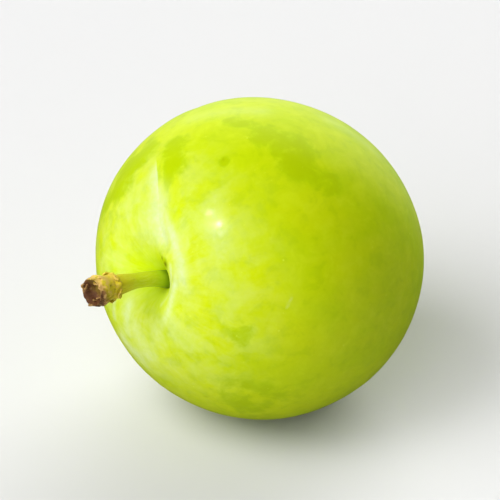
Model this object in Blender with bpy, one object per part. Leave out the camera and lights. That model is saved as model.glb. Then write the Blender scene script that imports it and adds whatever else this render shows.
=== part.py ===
"""A green plum, as picked, lying on a level surface with its stem to one side.

The fruit is shaped in its own axes and then laid down: local +Z runs out of the stem cavity, local +Y
points at the suture groove, and local +X at the fuller cheek. In the world, +Z is up, the stem points
along -Y, and the origin is the centre of the flat spot that the fruit rests on. Units are metres.
"""

import math

import bmesh
import bpy
from mathutils import Matrix, Vector

# The fruit's body. It leans a little: fuller on the suture side of the stem end, and round the shoulders.
MEAN_RADIUS = 0.0190
CHEEK_HALF_WIDTH = 0.992 * MEAN_RADIUS
SUTURE_HALF_DEPTH = 0.988 * MEAN_RADIUS
AXIS_HALF_LENGTH = 1.002 * MEAN_RADIUS
BODY_LEAN = 0.039
SHOULDER_FULLNESS = 0.028

# How the fruit lies.
STEM_RISE = math.radians(14.0)
SUTURE_ROLL = math.radians(36.8)
REST_SPOT_RADIUS = 0.0040

# The stem cavity: a steep funnel inside a wide, shallow shoulder. The funnel's wall is gentler on one side,
# where the suture leaves it beside the lower cheek: it is wider and less steep there.
FUNNEL_DEPTH = 0.0035
FUNNEL_WIDTH = 0.00285
FUNNEL_STEEPNESS = 2.6
GENTLE_SIDE_X = -0.45
GENTLE_SIDE_Y = 0.893
GENTLE_SIDE_SPREAD = 1.5
GENTLE_WIDENING = 0.35
GENTLE_EASING = 1.1
SHOULDER_DEPTH = 0.0011
SHOULDER_WIDTH = 0.0057

# The suture groove, on the +Y side: a crease that bows towards +X, with a steep wall under the fuller
# cheek and a gentle one on the other side. It narrows from the cavity to its tip.
GROOVE_DEPTH = 0.00130
GROOVE_STEEP_WIDTH = 0.0019
GROOVE_GENTLE_WIDTH = 0.0036
GROOVE_EDGE = 0.0003
GROOVE_TIP_SHARE = 0.40
GROOVE_START = 0.0012
GROOVE_FULL = 0.0045
GROOVE_FADES = 0.0042
GROOVE_ENDS = 0.0155
SUTURE_BOW = 0.0034
SUTURE_BOW_STARTS = 0.0190
SUTURE_BOW_FULL = 0.0088
LAST_TURN = 0.0006
LAST_TURN_STARTS = 0.0055
LAST_TURN_FULL = 0.0025
CHEEK_SWELL = 0.00025
CHEEK_SWELL_PLACE = 0.0036
CHEEK_SWELL_WIDTH = 0.0024
SEAM_DEPTH = 0.00010
SEAM_WIDTH = 0.0009

# A shallow valley leaves the cavity on the side away from the suture.
VALLEY_DEPTH = 0.00045
VALLEY_WIDTH = 0.0022
VALLEY_TURN = math.radians(28.0)
VALLEY_STARTS = 0.0016
VALLEY_FULL = 0.0040
VALLEY_FADES = 0.0052
VALLEY_ENDS = 0.0098

# The blossom end.
DIMPLE_DEPTH = 0.00070
DIMPLE_WIDTH = 0.0030
SCAR_HEIGHT = 0.00035
SCAR_WIDTH = 0.0007

# The stem, measured upwards from the cavity's floor. Its root stands in a socket, and the bud scales sit
# on a tenon at its far end.
STEM_MID_RADIUS = 0.00086
STEM_ROOT_RADIUS = 0.00118
STEM_FAR_RADIUS = 0.00106
STEM_SHOWN_LENGTH = 0.0080
ROOT_FLARE_LENGTH = 0.0016
FAR_SWELL_LENGTH = 0.0030
STEM_ARCH = 0.00040
ROOT_OFFSET = 0.00045
TENON_RADIUS = 0.00050
TENON_LENGTH = 0.0024
TENON_RUN = 0.0002
SOCKET_DEPTH = 0.0012

# The collar of dried bud scales round the stem's far end: foot, ring of lumps, waist, crown and rim.
COLLAR_LENGTH = 0.0037
COLLAR_FOOT_RADIUS = 0.00115
COLLAR_RING_RADIUS = 0.00150
COLLAR_WAIST_RADIUS = 0.00136
COLLAR_CROWN_RADIUS = 0.00158
COLLAR_RIM_RADIUS = 0.00140
COLLAR_RING_PLACE = 0.16
COLLAR_WAIST_PLACE = 0.40
COLLAR_CROWN_PLACE = 0.82
RING_LUMPS = 5
RING_LUMP_HEIGHT = 0.00026
RING_LUMP_SPREAD = 0.12
SCALE_COUNT = 6
SCALE_LAP = 0.00024
SCALE_TWIST = math.radians(20.0)
SCALE_UNEVENNESS = 0.30
TIP_HEIGHT = 0.00060
END_HOLLOW_DEPTH = 0.0008

# Meshes keep this clear of each other.
GAP = 0.0003

# How finely each piece is divided.
FRUIT_COLUMNS = 80
FRUIT_ROWS = 54
COLUMN_CROWDING = 0.55
ROW_CROWDING = 0.55
STEM_POINTS = 30
STEM_BEVEL_RESOLUTION = 3
COLLAR_COLUMNS = 42
COLLAR_HOLLOW_ROWS = 4
COLLAR_WALL_ROWS = 14
COLLAR_FOOT_ROWS = 2
HOLE_SIDES = 20
SMOOTH_ANGLE = math.radians(40.0)


def clear_scene():
    """Removes whatever the scene holds."""
    for obj in list(bpy.data.objects):
        bpy.data.objects.remove(obj, do_unlink=True)


def new_collection(name):
    """Makes a collection and links it to the scene."""
    collection = bpy.data.collections.new(name)
    bpy.context.scene.collection.children.link(collection)
    return collection


def new_material(name, colour, roughness):
    """Makes a plain Principled material."""
    material = bpy.data.materials.new(name)
    material.use_nodes = True
    shader = material.node_tree.nodes["Principled BSDF"]
    shader.inputs["Base Color"].default_value = (*colour, 1.0)
    shader.inputs["Roughness"].default_value = roughness
    shader.inputs["Metallic"].default_value = 0.0
    material.diffuse_color = (*colour, 1.0)
    return material


def smooth_step(low, high, value):
    """0 at low and before it, 1 at high and past it, and an S-shaped rise between them."""
    share = min(max((value - low) / (high - low), 0.0), 1.0)
    return share * share * (3.0 - 2.0 * share)


def hump(distance, width):
    """A rounded hump: 1 at no distance, falling away over the width."""
    return math.exp(-((distance / width) ** 2))


def crease(across, width):
    """A V with a slightly rounded bottom: 1 at no distance, falling away over the width."""
    return math.exp((GROOVE_EDGE - math.hypot(across, GROOVE_EDGE)) / width)


def body_radius(direction):
    """The radius of the plain body, before anything is pressed into it."""
    ellipsoid = 1.0 / math.sqrt(
        (direction.x / CHEEK_HALF_WIDTH) ** 2
        + (direction.y / SUTURE_HALF_DEPTH) ** 2
        + (direction.z / AXIS_HALF_LENGTH) ** 2
    )
    lean = BODY_LEAN * direction.y * direction.z
    shoulders = SHOULDER_FULLNESS * direction.z * (1.0 - direction.z**2)
    return ellipsoid * (1.0 + lean + shoulders)


def cavity_depth(direction, from_stem):
    """How deep the stem cavity is, in this direction and at this distance over the skin from the stem."""
    sideways = max(math.hypot(direction.x, direction.y), 1e-6)
    facing = (direction.x * GENTLE_SIDE_X + direction.y * GENTLE_SIDE_Y) / sideways
    gentle = max(0.0, facing) ** GENTLE_SIDE_SPREAD
    width = FUNNEL_WIDTH * (1.0 + GENTLE_WIDENING * gentle)
    funnel = FUNNEL_DEPTH * math.exp(-((from_stem / width) ** (FUNNEL_STEEPNESS - GENTLE_EASING * gentle)))
    shoulder = SHOULDER_DEPTH * hump(from_stem, SHOULDER_WIDTH)
    return funnel + shoulder


def suture_bow(along):
    """How far the suture bows towards the fuller cheek, at this distance along it from the stem's axis."""
    bow = SUTURE_BOW * smooth_step(SUTURE_BOW_STARTS, SUTURE_BOW_FULL, along)
    return bow + LAST_TURN * smooth_step(LAST_TURN_STARTS, LAST_TURN_FULL, along)


def groove_depth(across, along):
    """How deep the suture groove is near the stem end, less the swell of the fuller cheek beside it."""
    towards_tip = smooth_step(GROOVE_FADES, GROOVE_ENDS, along)
    width = GROOVE_STEEP_WIDTH if across > 0.0 else GROOVE_GENTLE_WIDTH
    width *= 1.0 - (1.0 - GROOVE_TIP_SHARE) * towards_tip
    length_share = smooth_step(GROOVE_START, GROOVE_FULL, along) * (1.0 - towards_tip)
    swell = CHEEK_SWELL * hump(across - CHEEK_SWELL_PLACE, CHEEK_SWELL_WIDTH)
    return length_share * (GROOVE_DEPTH * crease(across, width) - swell)


def seam_depth(across, from_stem, from_blossom):
    """The faint line that carries the suture on, from the groove to the blossom end."""
    ends = smooth_step(0.2 * MEAN_RADIUS, 0.5 * MEAN_RADIUS, from_stem)
    ends *= smooth_step(0.0, 0.2 * MEAN_RADIUS, from_blossom)
    return SEAM_DEPTH * ends * hump(across, SEAM_WIDTH)


def valley_depth(across, along):
    """The shallow valley on the side of the cavity away from the suture."""
    turned_across = across * math.cos(VALLEY_TURN) - along * math.sin(VALLEY_TURN)
    outward = -across * math.sin(VALLEY_TURN) - along * math.cos(VALLEY_TURN)
    length_share = smooth_step(VALLEY_STARTS, VALLEY_FULL, outward)
    length_share *= 1.0 - smooth_step(VALLEY_FADES, VALLEY_ENDS, outward)
    return VALLEY_DEPTH * length_share * hump(turned_across, VALLEY_WIDTH)


def blossom_depth(from_blossom):
    """The dimple at the blossom end, less the little scar that stands in it."""
    dimple = DIMPLE_DEPTH * hump(from_blossom, DIMPLE_WIDTH)
    scar = SCAR_HEIGHT * hump(from_blossom, SCAR_WIDTH)
    return dimple - scar


def fruit_radius(direction):
    """The distance from the fruit's middle to its skin, in this direction."""
    from_stem = MEAN_RADIUS * math.acos(max(-1.0, min(1.0, direction.z)))
    from_blossom = math.pi * MEAN_RADIUS - from_stem
    across = MEAN_RADIUS * direction.x
    along = MEAN_RADIUS * direction.y
    from_suture = across - suture_bow(along)
    radius = body_radius(direction)
    radius -= cavity_depth(direction, from_stem)
    radius -= blossom_depth(from_blossom)
    if direction.y > 0.0:
        radius -= seam_depth(from_suture, from_stem, from_blossom)
    if direction.z > 0.0:
        radius -= groove_depth(from_suture, along)
        radius -= valley_depth(across, along)
    return radius


def cavity_floor():
    """The height of the cavity's floor on the stem's axis, from the fruit's middle."""
    return fruit_radius(Vector((0.0, 0.0, 1.0)))


def crowded(angle, crowding, waves):
    """Moves an angle so that divisions crowd together where the skin needs more of them."""
    return angle - crowding * math.sin(waves * angle) / waves


def suture_turn(from_pole, round_axis):
    """How far a column turns round the axis to follow the bowed suture, least on the far side of the fruit."""
    along = MEAN_RADIUS * math.sin(from_pole)
    turn = math.atan2(suture_bow(along), along) * smooth_step(0.0, GROOVE_FULL, along)
    return turn * math.cos(round_axis / 2.0) ** 2


def lying_matrix():
    """Lays the fruit down, turned about its middle: stem towards -Y, suture rolled towards -X."""
    tilt = Matrix.Rotation(math.pi / 2.0 - STEM_RISE, 4, "X")
    roll = Matrix.Rotation(SUTURE_ROLL, 4, "Z")
    return tilt @ roll


def down_in_fruit():
    """The direction of straight down, in the fruit's own axes."""
    return (lying_matrix().inverted() @ Vector((0.0, 0.0, -1.0))).normalized()


def rest_height():
    """The height of the fruit's middle over the flat spot."""
    return math.sqrt(fruit_radius(down_in_fruit()) ** 2 - REST_SPOT_RADIUS**2)


def make_carrier(collection):
    """Makes the empty that carries the whole plum, at the fruit's middle."""
    empty = bpy.data.objects.new("plum_axis", None)
    empty.empty_display_size = MEAN_RADIUS
    empty.matrix_world = Matrix.Translation((0.0, 0.0, rest_height())) @ lying_matrix()
    collection.objects.link(empty)
    return empty


def add_piece(collection, carrier, name, data, place=None):
    """Makes an object from a mesh or a curve, and hangs it on the carrier."""
    piece = bpy.data.objects.new(name, data)
    piece.parent = carrier
    piece.matrix_local = place or Matrix.Identity(4)
    collection.objects.link(piece)
    return piece


def mesh_from(bm, name, material):
    """Turns a finished bmesh into a mesh that is shaded smooth, with its material."""
    mesh = bpy.data.meshes.new(name)
    bm.to_mesh(mesh)
    bm.free()
    mesh.shade_smooth()
    mesh.set_sharp_from_angle(angle=SMOOTH_ANGLE)
    mesh.materials.append(material)
    return mesh


def cut_round_hole(piece, cutters, carrier, radius, depth, place):
    """Cuts a plain round hole this deep into a piece, down along the place's own axis."""
    bm = bmesh.new()
    bmesh.ops.create_cone(
        bm, cap_ends=True, segments=HOLE_SIDES, radius1=radius, radius2=radius, depth=2.0 * depth
    )
    mesh = bpy.data.meshes.new(piece.name + "_hole")
    bm.to_mesh(mesh)
    bm.free()
    cutter = add_piece(cutters, carrier, piece.name + "_hole", mesh, place)
    cutter.hide_render = True
    cutter.display_type = "WIRE"
    hole = piece.modifiers.new("hole", "BOOLEAN")
    hole.operation = "DIFFERENCE"
    hole.solver = "EXACT"
    hole.object = cutter


def shape_fruit(bm):
    """Moves the points of a unit sphere onto the fruit's skin."""
    for vert in bm.verts:
        from_pole = math.acos(max(-1.0, min(1.0, vert.co.z)))
        round_axis = math.atan2(vert.co.x, vert.co.y)
        from_pole = crowded(from_pole, ROW_CROWDING, 2.0)
        round_axis = crowded(round_axis, COLUMN_CROWDING, 1.0)
        round_axis += suture_turn(from_pole, round_axis)
        direction = Vector(
            (
                math.sin(from_pole) * math.sin(round_axis),
                math.sin(from_pole) * math.cos(round_axis),
                math.cos(from_pole),
            )
        )
        vert.co = direction * fruit_radius(direction)


def press_rest_spot(bm):
    """Cuts the flat spot that the fruit rests on, and closes it with one flat face."""
    cut = bmesh.ops.bisect_plane(
        bm,
        geom=bm.verts[:] + bm.edges[:] + bm.faces[:],
        plane_co=down_in_fruit() * rest_height(),
        plane_no=down_in_fruit(),
        clear_outer=True,
    )
    rim = [item for item in cut["geom_cut"] if isinstance(item, bmesh.types.BMEdge)]
    bmesh.ops.edgeloop_fill(bm, edges=rim)
    bmesh.ops.recalc_face_normals(bm, faces=bm.faces[:])


def make_fruit(collection, cutters, carrier):
    """Makes the flesh and skin: one solid, with its cavity, suture, cheeks, dimple and flat spot."""
    bm = bmesh.new()
    bmesh.ops.create_uvsphere(bm, u_segments=FRUIT_COLUMNS, v_segments=FRUIT_ROWS, radius=1.0)
    shape_fruit(bm)
    press_rest_spot(bm)
    mesh = mesh_from(bm, "fruit", new_material("green_skin", (0.42, 0.56, 0.03), 0.42))
    fruit = add_piece(collection, carrier, "fruit", mesh)
    socket = Matrix.Translation((0.0, stem_bend(0.0), cavity_floor()))
    cut_round_hole(fruit, cutters, carrier, STEM_ROOT_RADIUS + GAP, SOCKET_DEPTH, socket)


def stem_bend(height):
    """The stem's sideways place at this height over the cavity's floor."""
    share = min(max(height / (STEM_SHOWN_LENGTH + COLLAR_LENGTH), 0.0), 1.0)
    arch = STEM_ARCH * math.sin(math.pi * share**0.7)
    offset = ROOT_OFFSET * (1.0 - share) ** 3
    return arch - offset


def stem_radius(height):
    """The stem's radius at this height over the cavity's floor, tenon included."""
    root_flare = (STEM_ROOT_RADIUS - STEM_MID_RADIUS) * hump(max(height, 0.0), ROOT_FLARE_LENGTH)
    far_share = smooth_step(STEM_SHOWN_LENGTH - FAR_SWELL_LENGTH, STEM_SHOWN_LENGTH, height)
    far_swell = (STEM_FAR_RADIUS - STEM_MID_RADIUS) * far_share
    radius = STEM_MID_RADIUS + root_flare + far_swell
    on_tenon = smooth_step(STEM_SHOWN_LENGTH - TENON_RUN, STEM_SHOWN_LENGTH, height)
    return radius + on_tenon * (TENON_RADIUS - radius)


def make_stem(collection, carrier):
    """Makes the stem: a bent round curve with filled ends, its radius set point by point."""
    curve = bpy.data.curves.new("stem", "CURVE")
    curve.dimensions = "3D"
    curve.bevel_depth = 1.0
    curve.bevel_resolution = STEM_BEVEL_RESOLUTION
    curve.use_fill_caps = True
    curve.materials.append(new_material("green_stem", (0.30, 0.34, 0.03), 0.55))
    spline = curve.splines.new("POLY")
    spline.points.add(STEM_POINTS - 1)
    lowest = GAP - SOCKET_DEPTH
    highest = STEM_SHOWN_LENGTH + TENON_LENGTH
    for index, point in enumerate(spline.points):
        height = lowest + (highest - lowest) * index / (STEM_POINTS - 1)
        point.co = (0.0, stem_bend(height), cavity_floor() + height, 1.0)
        point.radius = stem_radius(height)
    add_piece(collection, carrier, "stem", curve)


def collar_profile(share):
    """The collar's plain radius at this share of its length: foot, ring, waist, crown and rim."""
    places = (0.0, COLLAR_RING_PLACE, COLLAR_WAIST_PLACE, COLLAR_CROWN_PLACE, 1.0)
    radii = (
        COLLAR_FOOT_RADIUS,
        COLLAR_RING_RADIUS,
        COLLAR_WAIST_RADIUS,
        COLLAR_CROWN_RADIUS,
        COLLAR_RIM_RADIUS,
    )
    radius = radii[0]
    for index in range(1, len(places)):
        rise = smooth_step(places[index - 1], places[index], share)
        radius += (radii[index] - radii[index - 1]) * rise
    return radius


def scale_place(share, angle):
    """Which scale an angle lies on, and where across it: 0 at its tucked edge, 1 at the edge that laps."""
    uneven = math.sin(angle + 0.6) + 0.5 * math.sin(2.0 * angle)
    turned = angle + SCALE_UNEVENNESS * uneven + SCALE_TWIST * share
    place = turned * SCALE_COUNT / math.tau
    return math.floor(place) % SCALE_COUNT, place - math.floor(place)


def collar_radius(share, angle):
    """The collar's radius at this share of its length, with its ring of lumps and its lapped scales."""
    lump = max(0.0, math.cos(RING_LUMPS * angle + math.sin(angle))) ** 2
    lump *= hump(share - COLLAR_RING_PLACE, RING_LUMP_SPREAD)
    across = scale_place(share, angle)[1]
    lap = smooth_step(0.25, 0.55, share) * (across - 0.5)
    return collar_profile(share) + RING_LUMP_HEIGHT * lump + SCALE_LAP * lap


def tip_height(angle):
    """How far the scale at this angle stands past the collar's length. The scales are unequal."""
    which, across = scale_place(1.0, angle)
    unequal = 0.6 + 0.4 * math.sin(2.4 * which + 0.7)
    return TIP_HEIGHT * unequal * math.sin(math.pi * across) ** 0.6


def collar_point(row, angle):
    """A point of the collar: rows run from the middle of its hollow end, over the tips and down to its foot."""
    wall_row = row - COLLAR_HOLLOW_ROWS
    foot_row = wall_row - COLLAR_WALL_ROWS
    if wall_row < 0:
        inward = -wall_row / COLLAR_HOLLOW_ROWS
        radius = collar_radius(1.0, angle) * (1.0 - inward)
        height = COLLAR_LENGTH - END_HOLLOW_DEPTH * smooth_step(0.0, 0.8, inward)
        height += tip_height(angle) * (1.0 - smooth_step(0.0, 0.5, inward))
    elif foot_row <= 0:
        share = 1.0 - wall_row / COLLAR_WALL_ROWS
        radius = collar_radius(share, angle)
        height = COLLAR_LENGTH * share + tip_height(angle) * share**3
    else:
        radius = collar_radius(0.0, angle) * (1.0 - foot_row / COLLAR_FOOT_ROWS)
        height = 0.0
    return Vector((radius * math.cos(angle), radius * math.sin(angle), height))


def collar_place():
    """Places the collar: its foot over the stem's shoulder, its axis along the stem there."""
    foot = STEM_SHOWN_LENGTH + GAP
    run = Vector((0.0, stem_bend(foot + COLLAR_LENGTH) - stem_bend(foot), COLLAR_LENGTH))
    turn = run.to_track_quat("Z", "Y").to_matrix().to_4x4()
    return Matrix.Translation((0.0, stem_bend(foot), cavity_floor() + foot)) @ turn


def make_bud_scales(collection, cutters, carrier):
    """Makes the brown collar of dried scales round the stem's far end, from a sphere's rows and columns."""
    rows = COLLAR_HOLLOW_ROWS + COLLAR_WALL_ROWS + COLLAR_FOOT_ROWS
    bm = bmesh.new()
    bmesh.ops.create_uvsphere(bm, u_segments=COLLAR_COLUMNS, v_segments=rows, radius=1.0)
    for vert in bm.verts:
        row = round(rows * math.acos(max(-1.0, min(1.0, vert.co.z))) / math.pi)
        vert.co = collar_point(row, math.atan2(vert.co.y, vert.co.x))
    mesh = mesh_from(bm, "bud_scales", new_material("dried_scales", (0.16, 0.085, 0.035), 0.8))
    scales = add_piece(collection, carrier, "bud_scales", mesh, collar_place())
    cut_round_hole(scales, cutters, carrier, TENON_RADIUS + GAP, TENON_LENGTH, collar_place())


def main():
    """Builds the plum."""
    clear_scene()
    plum = new_collection("green_plum")
    cutters = new_collection("cutters")
    carrier = make_carrier(plum)
    make_fruit(plum, cutters, carrier)
    make_stem(plum, carrier)
    make_bud_scales(plum, cutters, carrier)


main()
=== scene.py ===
"""The looks of a green plum that lies on a level surface with its stem to one side.

The plum is modelled in its own axes and then laid down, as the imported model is: local +Z runs out of the stem
cavity, local +Y points at the suture groove, and local +X at the fuller cheek. In the world, +Z is up and the
stem points along -Y. Units are metres.
"""

import logging
import math
import random
from collections.abc import Sequence
from dataclasses import dataclass
from enum import Enum
from functools import cached_property

import bpy
from mathutils import Matrix, Vector, noise

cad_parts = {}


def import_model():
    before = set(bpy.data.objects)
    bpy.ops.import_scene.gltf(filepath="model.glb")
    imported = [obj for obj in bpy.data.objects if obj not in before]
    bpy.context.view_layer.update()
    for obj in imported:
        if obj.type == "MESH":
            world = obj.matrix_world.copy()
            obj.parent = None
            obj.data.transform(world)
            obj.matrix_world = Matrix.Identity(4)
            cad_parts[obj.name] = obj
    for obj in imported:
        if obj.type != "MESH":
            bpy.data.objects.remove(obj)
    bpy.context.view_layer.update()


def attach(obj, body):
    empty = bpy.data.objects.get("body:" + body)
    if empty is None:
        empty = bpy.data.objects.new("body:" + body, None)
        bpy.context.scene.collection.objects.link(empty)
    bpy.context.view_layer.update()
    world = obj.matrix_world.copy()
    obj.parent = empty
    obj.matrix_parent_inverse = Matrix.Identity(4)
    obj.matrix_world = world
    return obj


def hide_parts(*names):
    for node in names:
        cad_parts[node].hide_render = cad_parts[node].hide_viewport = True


LOG = logging.getLogger("green_plum")

Colour = tuple[float, float, float]
Triple = tuple[float, float, float]
Span = tuple[float, float]
Stop = tuple[float, float, float, float, float]

MM_PER_METRE = 1000.0
TINY = 1e-6
TINY_SQUARE = 1e-9


class CadNode(Enum):
    """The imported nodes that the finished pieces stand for."""

    FRUIT = "fruit"
    STEM = "stem"
    BUD_SCALES = "bud_scales"


class Slot(Enum):
    """The record's material slots."""

    SKIN = "skin"
    STEM = "stem"
    DRIED_SCALES = "dried_scales"


def smooth_step(low: float, high: float, value: float) -> float:
    """0 below low, 1 above high, and an S-shaped rise between them."""
    share = min(max((value - low) / (high - low), 0.0), 1.0)
    return share * share * (3.0 - 2.0 * share)


def hump(distance: float, width: float) -> float:
    """A rounded hump: 1 at no distance, falling away over the width."""
    return math.exp(-((distance / width) ** 2))


def rise_and_fall(starts: float, full: float, fades: float, ends: float, value: float) -> float:
    """Rises from 0 between starts and full, and falls back to 0 between fades and ends."""
    return smooth_step(starts, full, value) * (1.0 - smooth_step(fades, ends, value))


class Bench:
    """The workbench: what a piece goes through between its primitive and its finished mesh."""

    SAME_POINT = 1e-7

    @staticmethod
    def put_down_everything() -> None:
        """Leaves nothing selected, so that the next operator acts on the new piece alone."""
        if bpy.context.object and bpy.context.object.mode != "OBJECT":
            bpy.ops.object.mode_set(mode="OBJECT")
        bpy.ops.object.select_all(action="DESELECT")

    @staticmethod
    def take(name: str) -> bpy.types.Object:
        """Names the primitive that was just added.

        Args:
            name: The piece's name.

        Returns:
            The new object.
        """
        piece = bpy.context.object
        piece.name = name
        piece.data.name = name
        return piece

    @staticmethod
    def pick_up(piece: bpy.types.Object) -> None:
        """Selects one piece alone and makes it the active one.

        Args:
            piece: The piece to work on next.
        """
        Bench.put_down_everything()
        piece.select_set(True)
        bpy.context.view_layer.objects.active = piece

    @staticmethod
    def apply_modifier(piece: bpy.types.Object, kind: str, **settings: object) -> None:
        """Adds a modifier and applies it.

        Args:
            piece: The piece to change.
            kind: The modifier's type.
            settings: The modifier's own settings.
        """
        Bench.pick_up(piece)
        modifier = piece.modifiers.new(kind.lower(), kind)
        for setting, value in settings.items():
            setattr(modifier, setting, value)
        bpy.ops.object.modifier_apply(modifier=modifier.name)

    @staticmethod
    def note(piece: bpy.types.Object, name: str, values: Sequence[float]) -> None:
        """Stores a number on each point of a piece, for its finish to read."""
        piece.data.attributes.new(name, "FLOAT", "POINT").data.foreach_set("value", values)

    @staticmethod
    def face_outwards(piece: bpy.types.Object) -> None:
        """Merges doubled points and turns all faces outwards.

        Args:
            piece: The piece to mend.
        """
        Bench.pick_up(piece)
        bpy.ops.object.mode_set(mode="EDIT")
        bpy.ops.mesh.select_all(action="SELECT")
        bpy.ops.mesh.remove_doubles(threshold=Bench.SAME_POINT)
        bpy.ops.mesh.normals_make_consistent(inside=False)
        bpy.ops.object.mode_set(mode="OBJECT")

    @staticmethod
    def round_off(piece: bpy.types.Object, angle: float) -> None:
        """Shades a piece smooth, apart from edges sharper than an angle."""
        Bench.pick_up(piece)
        bpy.ops.object.shade_smooth_by_angle(angle=angle)

    @staticmethod
    def copy_of(piece: bpy.types.Object, name: str) -> bpy.types.Object:
        """Copies a piece with its own mesh.

        Args:
            piece: The piece to copy.
            name: The copy's name.

        Returns:
            The copy.
        """
        twin = piece.copy()
        twin.data = piece.data.copy()
        twin.name = name
        bpy.context.scene.collection.objects.link(twin)
        return twin

    @staticmethod
    def join(pieces: list[bpy.types.Object], name: str) -> bpy.types.Object:
        """Joins several pieces into one object.

        Args:
            pieces: The pieces, which all become part of the first.
            name: The joined piece's name.

        Returns:
            The joined piece.
        """
        Bench.put_down_everything()
        for piece in pieces:
            piece.select_set(True)
        bpy.context.view_layer.objects.active = pieces[0]
        bpy.ops.object.join()
        return Bench.take(name)

    @staticmethod
    def hand_over(piece: bpy.types.Object, node: CadNode, slot: Slot) -> None:
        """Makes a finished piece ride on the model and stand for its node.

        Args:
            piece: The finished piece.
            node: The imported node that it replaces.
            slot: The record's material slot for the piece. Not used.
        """
        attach(piece, "root")
        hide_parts(node.value)
        LOG.info("%s: %d points, %d faces", piece.name, len(piece.data.vertices), len(piece.data.polygons))


class Number:
    """A socket that carries a number. Python's operators on it add Math nodes."""

    def __init__(self, board: "Board", socket: bpy.types.NodeSocket) -> None:
        """Wraps a socket of a board."""
        self.board = board
        self.socket = socket

    def _math(self, operation: str, first: object, second: object = 0.0) -> "Number":
        """Adds one Math node and returns its result."""
        return self.board.number("ShaderNodeMath", {"operation": operation}, {0: first, 1: second})

    def __add__(self, other: object) -> "Number":
        """This number plus another."""
        return self._math("ADD", self, other)

    def __radd__(self, other: object) -> "Number":
        """Another number plus this one."""
        return self._math("ADD", other, self)

    def __sub__(self, other: object) -> "Number":
        """This number less another."""
        return self._math("SUBTRACT", self, other)

    def __rsub__(self, other: object) -> "Number":
        """Another number less this one."""
        return self._math("SUBTRACT", other, self)

    def __mul__(self, other: object) -> "Number":
        """This number times another."""
        return self._math("MULTIPLY", self, other)

    def __rmul__(self, other: object) -> "Number":
        """Another number times this one."""
        return self._math("MULTIPLY", other, self)

    def __truediv__(self, other: object) -> "Number":
        """This number over another."""
        return self._math("DIVIDE", self, other)

    def __rtruediv__(self, other: object) -> "Number":
        """Another number over this one."""
        return self._math("DIVIDE", other, self)

    def __pow__(self, other: object) -> "Number":
        """This number raised to another."""
        return self._math("POWER", self, other)

    def larger(self, other: object) -> "Number":
        """The larger of this number and another."""
        return self._math("MAXIMUM", self, other)

    def rise(self, low: float, high: float) -> "Number":
        """0 at low, 1 at high, with a smooth rise between. With low above high it falls.

        Args:
            low: Where the result is 0.
            high: Where the result is 1.

        Returns:
            The risen number.
        """
        settings = {"interpolation_type": "SMOOTHSTEP"}
        if low > high:
            return 1.0 - self.rise(high, low)
        return self.board.number("ShaderNodeMapRange", settings, {"Value": self, 1: low, 2: high})

    def clamped(self) -> "Number":
        """This number held between 0 and 1."""
        return self.board.number("ShaderNodeClamp", {}, {"Value": self})


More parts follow.
